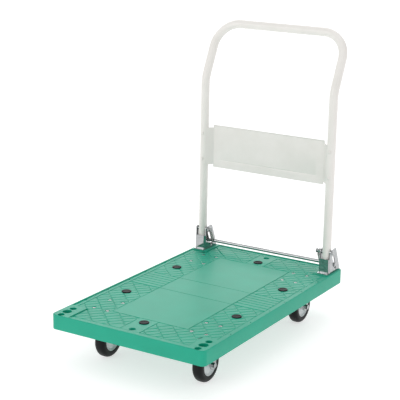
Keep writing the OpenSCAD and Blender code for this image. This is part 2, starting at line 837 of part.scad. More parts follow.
module handle_panel() {
    notch_x = face_half + 1.5;
    color([0.92, 0.92, 0.9]) both_sides() difference() {
        translate([0, 0, panel_z]) linear_extrude(panel_h) panel_half_plan();
        for (z = [panel_z - cut, panel_z + panel_h - corner_notch]) {
            translate([notch_x, handle_y - tube_d, z])
                cube([2 * tube_d, 3 * tube_d, corner_notch + cut]);
        }
        for (z = [panel_z + rivet_in, panel_z + panel_h - rivet_in]) {
            translate([handle_x, handle_y, z]) rotate([90, 0, 0]) cylinder(r = rivet_r + run_fit, h = tube_d);
        }
    }
}

module panel_rivets() {
    grip = sheet_t + tube_t + rivet_bulb_in;
    color([0.9, 0.9, 0.88]) both_sides() {
        for (z = [panel_z + rivet_in, panel_z + panel_h - rivet_in]) {
            translate([handle_x, handle_y - wrap_out, z]) rotate([90, 0, 0]) {
                cylinder(r1 = rivet_head_r, r2 = rivet_head_r * 0.6, h = rivet_head_h);
                translate([0, 0, -grip - cut]) cylinder(r = rivet_r, h = grip + cut + 0.5);
                translate([0, 0, -grip - rivet_bulb_h]) cylinder(r = rivet_r + 1, h = rivet_bulb_h);
            }
        }
    }
}

deck_moulding();
anti_slip_pads();
caster_bolts();
caster_nuts();
front_fork(left);  // front_fork_left
front_fork(right);  // front_fork_right
sleeve(left, front_axle_y);  // front_sleeve_left
sleeve(right, front_axle_y);  // front_sleeve_right
axle(left, front_axle_y);  // front_axle_left
axle(right, front_axle_y);  // front_axle_right
for (side = [left, right]) axle_nut(side, front_axle_y);  // front_axle_nuts
wheel_rim(left, front_axle_y);  // front_rim_left
wheel_rim(right, front_axle_y);  // front_rim_right
tyre(left, front_axle_y);  // front_tyre_left
tyre(right, front_axle_y);  // front_tyre_right
rear_plate(left);  // rear_plate_left
rear_plate(right);  // rear_plate_right
rear_kingpin(left);  // rear_kingpin_left
rear_kingpin(right);  // rear_kingpin_right
rear_balls(left);  // rear_balls_left
rear_balls(right);  // rear_balls_right
rear_fork(left);  // rear_fork_left
rear_fork(right);  // rear_fork_right
sleeve(left, rear_axle_y);  // rear_sleeve_left
sleeve(right, rear_axle_y);  // rear_sleeve_right
axle(left, rear_axle_y);  // rear_axle_left
axle(right, rear_axle_y);  // rear_axle_right
axle_nut(left, rear_axle_y);  // rear_axle_nut_left
axle_nut(right, rear_axle_y);  // rear_axle_nut_right
wheel_rim(left, rear_axle_y);  // rear_rim_left
wheel_rim(right, rear_axle_y);  // rear_rim_right
tyre(left, rear_axle_y);  // rear_tyre_left
tyre(right, rear_axle_y);  // rear_tyre_right
bracket(left);  // bracket_left
bracket(right);  // bracket_right
bracket_bolts();
bracket_nuts();
pivot_bolts();
pivot_nuts();
spring_clips();
release_bar();
bar_clips();
release_spring(left);  // release_spring_left
release_spring(right);  // release_spring_right
handle_tube();
pivot_sleeves();
tube_plugs();
handle_panel();
panel_rivets();
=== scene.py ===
import math

import bmesh
import bpy
from mathutils import Matrix, Vector


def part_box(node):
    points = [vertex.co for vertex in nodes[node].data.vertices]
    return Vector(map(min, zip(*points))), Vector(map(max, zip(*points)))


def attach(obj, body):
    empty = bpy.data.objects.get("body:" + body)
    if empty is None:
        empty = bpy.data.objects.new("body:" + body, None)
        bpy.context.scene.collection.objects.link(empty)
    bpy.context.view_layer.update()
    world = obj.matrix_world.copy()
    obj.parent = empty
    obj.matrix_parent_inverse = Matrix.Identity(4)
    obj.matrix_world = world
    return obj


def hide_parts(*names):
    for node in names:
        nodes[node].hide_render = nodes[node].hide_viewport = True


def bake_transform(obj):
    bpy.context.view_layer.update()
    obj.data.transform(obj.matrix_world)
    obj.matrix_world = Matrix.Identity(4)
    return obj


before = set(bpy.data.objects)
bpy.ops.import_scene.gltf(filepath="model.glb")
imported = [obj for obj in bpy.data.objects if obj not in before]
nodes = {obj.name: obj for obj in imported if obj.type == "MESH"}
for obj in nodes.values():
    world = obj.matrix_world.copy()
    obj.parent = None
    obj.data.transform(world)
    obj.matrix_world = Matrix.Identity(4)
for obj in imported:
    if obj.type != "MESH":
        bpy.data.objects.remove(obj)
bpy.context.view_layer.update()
print("frame loaded:", len(nodes), "CAD nodes")


# helpers: sizes are in millimetres until a piece is finished

def boxOf(node):
    low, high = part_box(node)
    return low * 1000, high * 1000


def centreOf(node):
    low, high = boxOf(node)
    return (low + high) / 2


def toLinear(colour):
    # "#rrggbb" as it looks on a screen, to the linear values that the shaders want
    parts = [int(colour[i:i + 2], 16) / 255 for i in (1, 3, 5)]
    return tuple(c / 12.92 if c <= 0.04045 else ((c + 0.055) / 1.055) ** 2.4 for c in parts) + (1.0,)


def inOrder(items):
    # each item once and always in the same order, which a set of mesh parts doesn't keep
    return list(dict.fromkeys(items))


def addNode(tree, kind, settings=None, values=None, links=None):
    # links: input name -> (node, output name)
    node = tree.nodes.new(kind)
    for name, value in (settings or {}).items():
        setattr(node, name, value)
    sockets = {}
    for socket in node.inputs:
        if socket.enabled:
            sockets.setdefault(socket.name, socket)
            sockets[socket.identifier] = socket
    for name, value in (values or {}).items():
        sockets[name].default_value = value
    for name, (source, output) in (links or {}).items():
        found = next(s for s in source.outputs if s.enabled and output in (s.name, s.identifier))
        tree.links.new(found, sockets[name])
    return node


def turned(bm, outline, centre, axis=(0, 0, 1), steps=48, closed=False):
    # spins an outline of (radius, height) or (radius, height, rounding) points about an axis
    before = set(bm.verts)
    corners = [bm.verts.new((point[0], 0, point[1])) for point in outline]
    bm.faces.new(corners)
    for size in sorted({point[2] for point in outline if len(point) > 2}):
        picked = [v for v, point in zip(corners, outline) if len(point) > 2 and point[2] == size]
        bmesh.ops.bevel(bm, geom=picked, offset=size, affect='VERTICES', segments=5, profile=0.5,
                        material=-1)
    face = next(f for f in bm.faces if all(v not in before for v in f.verts))
    bmesh.ops.delete(bm, geom=[face], context='FACES_ONLY')
    profile = [v for v in bm.verts if v not in before]
    wire = inOrder(e for v in profile for e in v.link_edges)
    if not closed:  # the edge that lies on the axis isn't spun
        onAxis = [e for e in wire if all(abs(v.co.x) < 1e-6 for v in e.verts)]
        bmesh.ops.delete(bm, geom=onAxis, context='EDGES')
        profile = [v for v in bm.verts if v not in before]
        wire = inOrder(e for v in profile for e in v.link_edges)
    bmesh.ops.spin(bm, geom=profile + wire, cent=(0, 0, 0), axis=(0, 0, 1),
                   angle=math.tau, steps=steps, use_merge=True)
    made = [v for v in bm.verts if v not in before]
    bmesh.ops.remove_doubles(bm, verts=made, dist=1e-4)
    made = [v for v in bm.verts if v not in before]
    faces = inOrder(f for v in made for f in v.link_faces)
    bmesh.ops.recalc_face_normals(bm, faces=faces)
    turn = Vector((0, 0, 1)).rotation_difference(Vector(axis)).to_matrix()
    bmesh.ops.rotate(bm, verts=made, cent=(0, 0, 0), matrix=turn)
    bmesh.ops.translate(bm, verts=made, vec=centre)
    return made


def makePiece(name, bm, body, material, replaced, sharp=32):
    # turns millimetres into metres and shades smooth, except where faces meet at more than sharp degrees
    bmesh.ops.scale(bm, vec=(0.001,) * 3, verts=bm.verts)
    mesh = bpy.data.meshes.new(name)
    bm.to_mesh(mesh)
    bm.free()
    mesh.materials.append(material)
    mesh.shade_smooth()
    mesh.set_sharp_from_angle(angle=math.radians(sharp))
    piece = bpy.data.objects.new(name, mesh)
    bpy.context.scene.collection.objects.link(piece)
    if body:  # a piece given no body, such as a spring that runs between two bodies, is left unattached
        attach(piece, body)
    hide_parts(*replaced)
    return piece


# materials

def newMaterial(name):
    material = bpy.data.materials.new(name)
    material.use_nodes = True
    tree = material.node_tree
    tree.nodes.clear()
    output = addNode(tree, "ShaderNodeOutputMaterial")
    place = addNode(tree, "ShaderNodeTexCoord")
    return material, tree, output, place


def mottled(name, light, dark, values, patchSize, grainSize, grainHeight, roughness, streak=(1, 1, 1)):
    # two shades in soft patches, and a fine grain that drives both the bump and the roughness
    material, tree, output, place = newMaterial(name)
    stretch = addNode(tree, "ShaderNodeMapping", values={"Scale": streak},
                      links={"Vector": (place, "Object")})
    patches = addNode(tree, "ShaderNodeTexNoise", values={"Scale": 1000 / patchSize, "Detail": 4.0},
                      links={"Vector": (stretch, "Vector")})
    grain = addNode(tree, "ShaderNodeTexNoise", values={"Scale": 1000 / grainSize, "Detail": 2.0},
                    links={"Vector": (stretch, "Vector")})
    middling = {"From Min": 0.3, "From Max": 0.7}  # noise seldom leaves this range
    ramp = addNode(tree, "ShaderNodeMapRange", values={**middling, "To Min": 0.0, "To Max": 1.0},
                   links={"Value": (patches, "Fac")})
    colour = addNode(tree, "ShaderNodeMix", {"data_type": "RGBA"},
                     {"A": toLinear(dark), "B": toLinear(light)}, {"Factor": (ramp, "Result")})
    rough = addNode(tree, "ShaderNodeMapRange",
                    values={**middling, "To Min": roughness[0], "To Max": roughness[1]},
                    links={"Value": (grain, "Fac")})
    bump = addNode(tree, "ShaderNodeBump", values={"Strength": 1.0, "Distance": grainHeight / 1000},
                   links={"Height": (grain, "Fac")})
    shader = addNode(tree, "ShaderNodeBsdfPrincipled", values=values,
                     links={"Base Color": (colour, "Result"), "Roughness": (rough, "Result"),
                            "Normal": (bump, "Normal")})
    tree.links.new(shader.outputs["BSDF"], output.inputs["Surface"])
    return material


# Injection-moulded polypropylene: an even, slightly waxy green with a fine spark-eroded grain
polypropylene = mottled(
    "mouldedPolypropylene", "#08a587", "#069d80", {"IOR": 1.49, "Specular IOR Level": 0.4},
    patchSize=90, grainSize=2.2, grainHeight=0.012, roughness=(0.40, 0.50))
# Thermoplastic rubber of the tyres: black with a dull bloom on its moulded skin
tyreRubber = mottled(
    "thermoplasticRubber", "#0d0f11", "#07090a", {"IOR": 1.5, "Specular IOR Level": 0.22},
    patchSize=18, grainSize=1.6, grainHeight=0.02, roughness=(0.34, 0.48))
# EPDM rubber of the pads: matt black
padRubber = mottled(
    "epdmRubber", "#101517", "#090c0e", {"IOR": 1.52, "Specular IOR Level": 0.2},
    patchSize=6, grainSize=1.2, grainHeight=0.03, roughness=(0.5, 0.65))
# Moulded nylon wheel centres: pale grey, half gloss, with faint flow marks
nylon = mottled(
    "mouldedNylon", "#dee2e3", "#d2d7d9", {"IOR": 1.53},
    patchSize=14, grainSize=1.5, grainHeight=0.01, roughness=(0.32, 0.42))
# Baked epoxy powder coat: warm white with a faint orange peel
powderCoat = mottled(
    "bakedPowderCoat", "#ebe8e4", "#e5e2dd", {"IOR": 1.5, "Coat Weight": 0.25, "Coat Roughness": 0.12},
    patchSize=60, grainSize=3.5, grainHeight=0.02, roughness=(0.28, 0.36))
# Bright zinc plate on pressed steel: soft grey patches where the plating varies, fine rolling lines
zincPlate = mottled(
    "electroplatedZinc", "#b2b4b5", "#9fa2a3", {"Metallic": 1.0},
    patchSize=13, grainSize=3.5, grainHeight=0.0015, roughness=(0.06, 0.13), streak=(1, 1, 2.5))
# Drawn and plated wire: brighter, with marks along the wire
springWire = mottled(
    "drawnSpringWire", "#d2d3d1", "#b4b5b3", {"Metallic": 1.0},
    patchSize=3, grainSize=0.8, grainHeight=0.004, roughness=(0.18, 0.3))
# Ground and polished bearing steel: nearly a mirror, with a trace of grease
bearingSteel = mottled(
    "bearingSteel", "#d8d8d8", "#bcbcba", {"Metallic": 1.0},
    patchSize=5, grainSize=0.9, grainHeight=0.001, roughness=(0.06, 0.16))
# Polyethylene of the tube plugs: black with a waxy moulded face
polyethylene = mottled(
    "mouldedPolyethylene", "#26282a", "#191a1c", {"IOR": 1.51},
    patchSize=8, grainSize=1.0, grainHeight=0.01, roughness=(0.42, 0.55))
print("materials made")


# platform

deck = {
    "corner": 14, "topEdge": 2.2, "bottomEdge": 1.0, "lip": 5, "drop": 2.5, "wallDraft": 0.35,
    "seatX": 185, "seatLength": 88,   # the raised corner seats
    "borderX": 18, "borderY": 20,     # from the outer edges to the line that frames the pattern
    "grooveDepth": 1.5, "lineHalf": 1.2, "ribHalf": 2.4, "ribRound": 0.6, "grooveDraft": 0.3,
    "firstRise": 0.7, "lastRise": 0.3,  # the two steps of a rounded rib's side, as shares of the depth
    "fieldX": 120, "fieldIn": 113, "bandHalf": 54, "endLineX": 30,
    "stripPitch": 40, "stripAngle": -45, "ribPitch": 19, "ribAngle": 47, "sidePitch": 17.5,
    "thinnest": 7.5,                  # a rib narrower than this joins its neighbour
    "leftLow": 4.5,                   # and one still narrower than this isn't raised
    "closest": 3.5,                   # corners of ribs nearer than this are merged
    "narrow": 33,                     # degrees
    "leastArea": 30, "leastEdge": 0.3,  # a smaller top keeps its sharp edge
    "rim": 4, "ribBottom": 8.5, "ribWall": 3, "ribDepth": 25.5, "cellsX": 7, "cellsY": 12,
    "rimDraft": 0.3, "cellDraft": 0.6,
    "seatUnder": 24,                  # height of the bolting seats above the rim's lower edge
}


def cutFaces(bm, faces, point, normal):
    # cuts only these faces along a plane and gives back all their parts
    geom = inOrder(part for face in faces for part in (face, *face.edges, *face.verts))
    before = set(bm.faces)
    bmesh.ops.bisect_plane(bm, geom=geom, dist=1e-4, plane_co=point, plane_no=normal)
    return [f for f in faces if f.is_valid] + [f for f in bm.faces if f not in before]


def mergeFaces(bm, faces):
    # one face in place of several that lie side by side
    return bmesh.ops.dissolve_faces(bm, faces=faces, use_verts=False)["region"] if len(faces) > 1 else faces


def cutFamily(bm, faces, angle, pitch, shift=0.0):
    # parallel cuts at an angle seen from above
    direction = Vector((math.cos(math.radians(angle)), math.sin(math.radians(angle)), 0))
    normal = Vector((-direction.y, direction.x, 0))
    along = [normal.dot(v.co) for f in faces for v in f.verts]
    first = math.floor((min(along) - shift) / pitch)
    last = math.ceil((max(along) - shift) / pitch)
    for k in range(first, last + 1):
        faces = cutFaces(bm, faces, normal * (k * pitch + shift), normal)
    return faces, normal


def inZone(centre, middle, low, high):
    # which part of the top face a point lies in
    dy = centre.y - middle
    side = 1 if centre.x > 0 else -1
    end = 1 if dy > 0 else -1
    inField = abs(centre.x) < deck["fieldX"]
    if abs(dy) < deck["bandHalf"]:
        return ("band",) if inField else ("side", side)
    if inField and abs(dy) < (high.y - low.y) / 2 - deck["fieldIn"]:
        return ("field", end)
    if abs(centre.x) < deck["endLineX"]:
        return ("end", end)
    return ("corner", side, end)


def boxes(bm, places):
    # closed boxes, each given as (low corner, high corner)
    for low, high in places:
        size = Vector(high) - Vector(low)
        made = bmesh.ops.create_cube(bm, size=1.0)["verts"]
        bmesh.ops.scale(bm, vec=size, verts=made)
        bmesh.ops.translate(bm, vec=(Vector(high) + Vector(low)) / 2, verts=made)


def withBoolean(bm, other, operation):
    # joins or cuts with another closed mesh, and gives back one new mesh
    pair = []
    for name, source in (("work", bm), ("tool", other)):
        mesh = bpy.data.meshes.new(name)
        source.to_mesh(mesh)
        source.free()
        pair.append(bpy.data.objects.new(name, mesh))
        bpy.context.scene.collection.objects.link(pair[-1])
    cutter = pair[0].modifiers.new("Boolean", 'BOOLEAN')
    cutter.solver = 'EXACT'
    cutter.operation = operation
    cutter.object = pair[1]
    bpy.context.view_layer.update()
    solid = pair[0].evaluated_get(bpy.context.evaluated_depsgraph_get())
    mesh = bpy.data.meshes.new_from_object(solid)
    result = bmesh.new()
    result.from_mesh(mesh)
    for thing in pair:
        bpy.data.objects.remove(thing)
    return result


low, high = boxOf("deck_moulding")
middle = (low.y + high.y) / 2
halfWidth, halfLength = (high.x - low.x) / 2, (high.y - low.y) / 2
fieldZ = high.z - deck["drop"]
seatY = halfLength - deck["seatLength"]

bm = bmesh.new()
strip = bm.faces.layers.int.new("strip")  # which lane of the pattern a face lies in
bmesh.ops.create_grid(bm, x_segments=1, y_segments=1, size=1)
bmesh.ops.scale(bm, vec=(halfWidth, halfLength, 1), verts=bm.verts)
bmesh.ops.translate(bm, vec=(0, middle, low.z), verts=bm.verts)
bmesh.ops.bevel(bm, geom=bm.verts[:], offset=deck["corner"], affect='VERTICES', segments=8, profile=0.5,
                material=-1)
raised = bmesh.ops.extrude_face_region(bm, geom=bm.faces[:])["geom"]
bmesh.ops.translate(bm, vec=(0, 0, high.z - low.z),
                    verts=[v for v in raised if isinstance(v, bmesh.types.BMVert)])
bmesh.ops.recalc_face_normals(bm, faces=bm.faces[:])
for z, size in ((high.z, deck["topEdge"]), (low.z, deck["bottomEdge"])):
    edges = [e for e in bm.edges if all(abs(v.co.z - z) < 0.01 for v in e.verts)]
    bmesh.ops.bevel(bm, geom=edges, offset=size, affect='EDGES', segments=4, profile=0.5, material=-1)

# lip and corner seats: the rest of the top face is sunk
top = max(bm.faces, key=lambda f: (f.normal.z > 0.9) * f.calc_area())
bmesh.ops.inset_region(bm, faces=[top], thickness=deck["lip"] - deck["topEdge"], use_even_offset=True)
parts = [top]
for x in (-deck["seatX"], deck["seatX"]):
    parts = cutFaces(bm, parts, (x, 0, 0), (1, 0, 0))
for y in (-seatY, seatY):
    parts = cutFaces(bm, parts, (0, middle + y, 0), (0, 1, 0))
sunk = [f for f in parts if abs(f.calc_center_median().x) < deck["seatX"]
        or abs(f.calc_center_median().y - middle) < seatY]
field = mergeFaces(bm, sunk)[0]
bmesh.ops.inset_region(bm, faces=[field], thickness=deck["wallDraft"], depth=-deck["drop"],
                       use_even_offset=True)
parts = [field]
frameX, frameY = halfWidth - deck["borderX"], halfLength - deck["borderY"]
for x in (-frameX, frameX):
    parts = cutFaces(bm, parts, (x, 0, 0), (1, 0, 0))
for y in (-frameY, frameY):
    parts = cutFaces(bm, parts, (0, middle + y, 0), (0, 1, 0))
inside = [f for f in parts if abs(f.calc_center_median().x) < frameX
          and abs(f.calc_center_median().y - middle) < frameY]
field = mergeFaces(bm, inside)[0]
bmesh.ops.inset_region(bm, faces=[field], thickness=deck["grooveDraft"], depth=-deck["grooveDepth"],
                       use_even_offset=True)

# the pattern's zones
parts = [field]
fieldY = halfLength - deck["fieldIn"]
for y in (-fieldY, -deck["bandHalf"], deck["bandHalf"], fieldY):
    parts = cutFaces(bm, parts, (0, middle + y, 0), (0, 1, 0))
for x in (-deck["fieldX"], deck["fieldX"]):
    parts = cutFaces(bm, parts, (x, 0, 0), (1, 0, 0))
ends = [f for f in parts if abs(f.calc_center_median().y - middle) > fieldY]
others = [f for f in parts if f not in ends]
for x in (-deck["endLineX"], deck["endLineX"]):
    ends = cutFaces(bm, ends, (x, 0, 0), (1, 0, 0))
zones = {}
for face in others + ends:
    zones.setdefault(inZone(face.calc_center_median(), middle, low, high), []).append(face)
ribs, count = [], 0
for zone in sorted(zones):
    whole = mergeFaces(bm, zones[zone])
    if zone[0] == "side":
        count += 1
        rows, normal = cutFamily(bm, whole, 0, deck["sidePitch"], middle + deck["bandHalf"])
        for face in rows:
            face[strip] = count
    elif zone[0] == "corner":
        rows, normal = cutFamily(bm, whole, deck["stripAngle"], deck["stripPitch"])
        lanes = {}
        for face in rows:
            lane = math.floor(normal.dot(face.calc_center_median()) / deck["stripPitch"])
            lanes.setdefault(lane, []).append(face)
        for lane, faces in sorted(lanes.items()):
            count += 1
            faces, ribNormal = cutFamily(bm, faces, deck["ribAngle"], deck["ribPitch"],
                                         (lane % 2) * deck["ribPitch"] / 2)
            for face in faces:
                face[strip] = count
            ribs += faces
for face in sorted(ribs, key=lambda f: f.calc_area()):  # slivers join the rib beside them
    if not face.is_valid or face[strip] == 0:
        continue
    if 2 * face.calc_area() / face.calc_perimeter() < deck["thinnest"]:
        shared = [e for e in face.edges if all(f[strip] == face[strip] for f in e.link_faces)]
        if shared:
            edge = max(shared, key=lambda e: e.calc_length())
            number = face[strip]
            for made in mergeFaces(bm, list(edge.link_faces)):
                made[strip] = number
                ribs.append(made)
near = inOrder(v for f in bm.faces if f[strip] for v in f.verts)
bmesh.ops.remove_doubles(bm, verts=near, dist=deck["closest"])
ribs = [f for f in bm.faces if f[strip] and f.normal.z > 0.9
        and 2 * f.calc_area() / f.calc_perimeter() > deck["leftLow"]]
plain = [f for f in bm.faces if not f[strip] and f.normal.z > 0.9
         and abs(f.calc_center_median().z - (fieldZ - deck["grooveDepth"])) < 0.01]
for faces, half in ((plain, deck["lineHalf"]), (ribs, deck["ribHalf"])):
    # a face with a narrow corner is inset without the even offset, which would throw a spike
    narrow = {f for f in faces if min(loop.calc_angle() for loop in f.loops) < math.radians(deck["narrow"])}
    for even, group in ((True, [f for f in faces if f not in narrow]),
                        (False, [f for f in faces if f in narrow])):
        bmesh.ops.inset_individual(bm, faces=group, thickness=half - deck["ribRound"],
                                   depth=deck["grooveDepth"] * deck["firstRise"], use_even_offset=even)
    faces = [f for f in faces if f.calc_area() > deck["leastArea"]
             and min(e.calc_length() for e in f.edges) > deck["leastEdge"]]
    bmesh.ops.inset_individual(bm, faces=faces, thickness=deck["ribRound"],
                               depth=deck["grooveDepth"] * deck["lastRise"], use_even_offset=False)
print("platform top patterned:", len(ribs), "ribs")

# underside: a hollow with a grid of ribs
under = min(bm.faces, key=lambda f: (f.normal.z < -0.9) * -f.calc_area())
bmesh.ops.inset_region(bm, faces=[under], thickness=deck["rim"] - deck["bottomEdge"],
                       use_even_offset=True)
bmesh.ops.inset_region(bm, faces=[under], thickness=deck["rimDraft"], depth=-deck["ribBottom"],
                       use_even_offset=True)
cells = [under]
for i in range(1, deck["cellsX"]):
    x = (2 * i / deck["cellsX"] - 1) * (halfWidth - deck["rim"])
    cells = cutFaces(bm, cells, (x, 0, 0), (1, 0, 0))
for i in range(1, deck["cellsY"]):
    y = middle + (2 * i / deck["cellsY"] - 1) * (halfLength - deck["rim"])
    cells = cutFaces(bm, cells, (0, y, 0), (0, 1, 0))
bmesh.ops.inset_individual(bm, faces=cells, thickness=deck["ribWall"] / 2 - deck["rimDraft"],
                           use_even_offset=True)
bmesh.ops.inset_individual(bm, faces=cells, thickness=deck["cellDraft"], depth=-deck["ribDepth"],
                           use_even_offset=True)

# bolting seats under the skin, with room below them
seat = {"casterX": 37, "casterY": 53, "cornerY": 84, "inset": 4.2, "below": 5,
        "intoSkin": 2.4}  # from the field's surface down to the seat's top
seatZ = low.z + deck["seatUnder"]
fixedY, swivelY = centreOf("front_axle_right").y, centreOf("rear_kingpin_right").y
casterX = centreOf("front_tyre_right").x
seats = []
for side in (-1, 1):
    for y in (fixedY, swivelY):
        seats.append((side * casterX - seat["casterX"], y - seat["casterY"],
                      side * casterX + seat["casterX"], y + seat["casterY"]))
    for y in (low.y + seat["inset"], high.y - seat["inset"] - seat["cornerY"]):
        x0, x1 = sorted((side * (halfWidth - seat["inset"]), side * deck["seatX"]))
        seats.append((x0, y, x1, y + seat["cornerY"]))
blocks = bmesh.new()
boxes(blocks, [((x0, y0, seatZ), (x1, y1, fieldZ - seat["intoSkin"])) for x0, y0, x1, y1 in seats])
bm = withBoolean(bm, blocks, 'UNION')

# holes
holes = {
    "pad": 13.7, "padDepth": 2.4, "padX": 179, "padY": 131, "padIn": 88,
    "small": 9, "wide": 12.5, "blind": 9, "through": 12, "endIn": 34,
    "cornerX": 214, "cornerSmall": (11, 64), "cornerWide": 37.5, "bolt": 4.3, "gap": 0.01,
    "pocket": 6.2, "pocketDepth": 4, "boltX": 22, "boltY": 36.5, "chamfer": 0.7, "above": 3,
    "notch": 3.0, "notchDepth": 4, "notchIn": 8.5,
    "notchSides": (-250, -147, -42, 42, 147, 250), "notchEnds": (-100, 0, 100),
}
padX, padY, padEnd = holes["padX"], holes["padY"], halfLength - holes["padIn"]
padPlaces = [(x, middle + y) for x, y in ((-padX, -padY), (padX, -padY), (-padX, padY), (padX, padY),
                                          (0, -padEnd), (0, padEnd))]
boltPlaces = [(side * casterX + dx, y + dy) for side in (-1, 1) for y in (fixedY, swivelY)
              for dx in (-holes["boltX"], holes["boltX"]) for dy in (-holes["boltY"], holes["boltY"])]
tools = bmesh.new()


def sink(x, y, radius, bottom, surface, chamfer=holes["chamfer"], steps=32):
    # a round cutter with a chamfer where it meets the surface
    topZ = surface + holes["above"]
    turned(tools, [(0, bottom), (radius, bottom), (radius, surface - chamfer), (radius + chamfer, surface),
                   (radius + chamfer, topZ), (0, topZ)], (x, y, 0), steps=steps)


for x, y in padPlaces:
    sink(x, y, holes["pad"], fieldZ - holes["padDepth"], fieldZ, 0.5, 40)
for y in (-halfLength + holes["endIn"], halfLength - holes["endIn"]):
    sink(0, middle + y, holes["small"], fieldZ - holes["through"], fieldZ)
for x, y in boltPlaces:
    sink(x, y, holes["pocket"], fieldZ - holes["pocketDepth"], fieldZ, 0.4, 24)
blindZ = high.z - holes["blind"]
notchZ = fieldZ - holes["notchDepth"]
for side in (-1, 1):
    cornerX = side * holes["cornerX"]
    for y in holes["cornerSmall"]:
        sink(cornerX, low.y + y, holes["small"], blindZ, high.z)
        boltTop = blindZ - holes["gap"]
        turned(tools, [(0, low.z), (holes["bolt"], low.z), (holes["bolt"], boltTop), (0, boltTop)],
               (cornerX, low.y + y, 0), steps=24)
    sink(cornerX, low.y + holes["cornerWide"], holes["wide"], blindZ, high.z)
    for y in holes["notchSides"]:  # small blind dimples along the lip
        sink(side * (halfWidth - holes["notchIn"]), middle + y, holes["notch"], notchZ, fieldZ, 0.2, 12)
for x in holes["notchEnds"]:
    for y in (-halfLength + holes["notchIn"], halfLength - holes["notchIn"]):
        sink(x, middle + y, holes["notch"], notchZ, fieldZ, 0.2, 12)
boxes(tools, [((x0, y0, low.z - seat["below"]), (x1, y1, seatZ)) for x0, y0, x1, y1 in seats])
bm = withBoolean(bm, tools, 'DIFFERENCE')
bmesh.ops.dissolve_degenerate(bm, dist=1e-3, edges=bm.edges[:])
makePiece("platformMoulding", bm, "deck", polypropylene, ["deck_moulding"], sharp=28)
print("platform made")

# anti-slip pads: a raised ring round a dished middle
pads = {"radius": 13.5, "proud": 2.4, "sunk": 2.3, "dish": 0.7, "ring": 8.5, "edge": 1.0}
bm = bmesh.new()
footZ, topZ = fieldZ - pads["sunk"], fieldZ + pads["proud"]
dishZ = topZ - pads["dish"]
for x, y in padPlaces:
    turned(bm, [(0, footZ), (pads["radius"], footZ), (pads["radius"], topZ, pads["edge"]),
                (pads["ring"] + 1, topZ, 0.5), (pads["ring"], dishZ, 0.4), (0, dishZ)], (x, y, 0), steps=40)
makePiece("antiSlipPads", bm, "deck", padRubber, ["anti_slip_pads"])


# domed caster bolts in their pockets, each with a small socket
casterBolt = {"head": 5.7, "dome": 0.62, "rise": 3.5, "flat": 1.8, "shank": 3, "nutEnd": 10.5,
              "socket": 1.3, "socketFloor": 1.0}
bm = bmesh.new()
boltZ = fieldZ - holes["pocketDepth"]
boltEnd, boltTop = seatZ - casterBolt["nutEnd"], boltZ + casterBolt["rise"]
socketZ = boltZ + casterBolt["socketFloor"]
for x, y in boltPlaces:
    turned(bm, [(0, boltEnd), (casterBolt["shank"], boltEnd, 0.5), (casterBolt["shank"], boltZ),
                (casterBolt["head"], boltZ), (casterBolt["head"], boltZ + casterBolt["flat"]),
                (casterBolt["head"] * casterBolt["dome"], boltTop, 1.4),
                (casterBolt["socket"], boltTop), (casterBolt["socket"], socketZ), (0, socketZ)],
           (x, y, 0), steps=20)
makePiece("casterBolts", bm, "deck", zincPlate, ["caster_bolts"])


# wheels

wheel = {
    "tyre": 50, "halfWidth": 15.5, "seat": 36.05, "seatHalf": 14.05, "lipInner": 31.6, "lip": 1.1,
    "shoulder": 11.5,
    "bore": 6.08, "hub": 12, "hubHalf": 19, "webHub": 9.5, "webRim": 8, "dish": 27, "ring": 29.5,
    "rimHalf": 14, "rimOuter": 36,
}
for end, bodyEnd in (("front", "front_wheel"), ("rear", "rear_wheel")):
    for side in ("left", "right"):
        centre = centreOf(f"{end}_tyre_{side}")
        body = f"{bodyEnd}_{side}"
        bm = bmesh.new()
        half, seatHalf = wheel["halfWidth"], wheel["seatHalf"]
        turned(bm, [
            (wheel["seat"], -seatHalf), (wheel["seat"], seatHalf), (wheel["lipInner"], seatHalf),
            (wheel["lipInner"], seatHalf + wheel["lip"], 0.5), (wheel["seat"] + 1, half, 1.5),
            (wheel["tyre"], half, wheel["shoulder"]), (wheel["tyre"], -half, wheel["shoulder"]),
            (wheel["seat"] + 1, -half, 1.5), (wheel["lipInner"], -seatHalf - wheel["lip"], 0.5),
            (wheel["lipInner"], -seatHalf)], centre, (1, 0, 0), 72, closed=True)
        makePiece(f"{end}Tyre.{side}", bm, body, tyreRubber, [f"{end}_tyre_{side}"])
        bm = bmesh.new()
        rim = [(wheel["bore"], wheel["hubHalf"]), (wheel["hub"] - 1, wheel["hubHalf"], 0.5),
               (wheel["hub"], wheel["webHub"], 1), (wheel["dish"], wheel["webRim"], 2),
               (wheel["ring"], wheel["rimHalf"] - 0.8, 0.8), (wheel["rimOuter"], wheel["rimHalf"] - 0.2)]
        turned(bm, rim + [(point[0], -point[1]) + tuple(point[2:]) for point in reversed(rim)],
               centre, (1, 0, 0), 64, closed=True)
        makePiece(f"{end}WheelCentre.{side}", bm, body, nylon, [f"{end}_rim_{side}"])
print("wheels made")


# handle tube

handle = {"radius": 12.7, "x": 214, "kinkHeight": 685, "kinkRadius": 90, "lean": 25.5,
          "leanLength": 179.55, "corner": 75, "around": 40, "bendSteps": 12, "cornerSteps": 20,
          "plugRim": 2}  # how far the plug stands out of the tube's foot
pivot = centreOf("pivot_sleeves")
foot = boxOf("tube_plugs")[0].z + handle["plugRim"]
lean = math.radians(handle["lean"])
bendRun = handle["kinkRadius"] * math.tan(lean / 2)
upward = Vector((0, math.sin(lean), math.cos(lean)))

bm = bmesh.new()
ring = bmesh.ops.create_circle(bm, cap_ends=False, radius=handle["radius"],
                               segments=handle["around"])["verts"]
bmesh.ops.translate(bm, vec=(handle["x"], pivot.y, foot), verts=ring)
loop = inOrder(e for v in ring for e in v.link_edges)


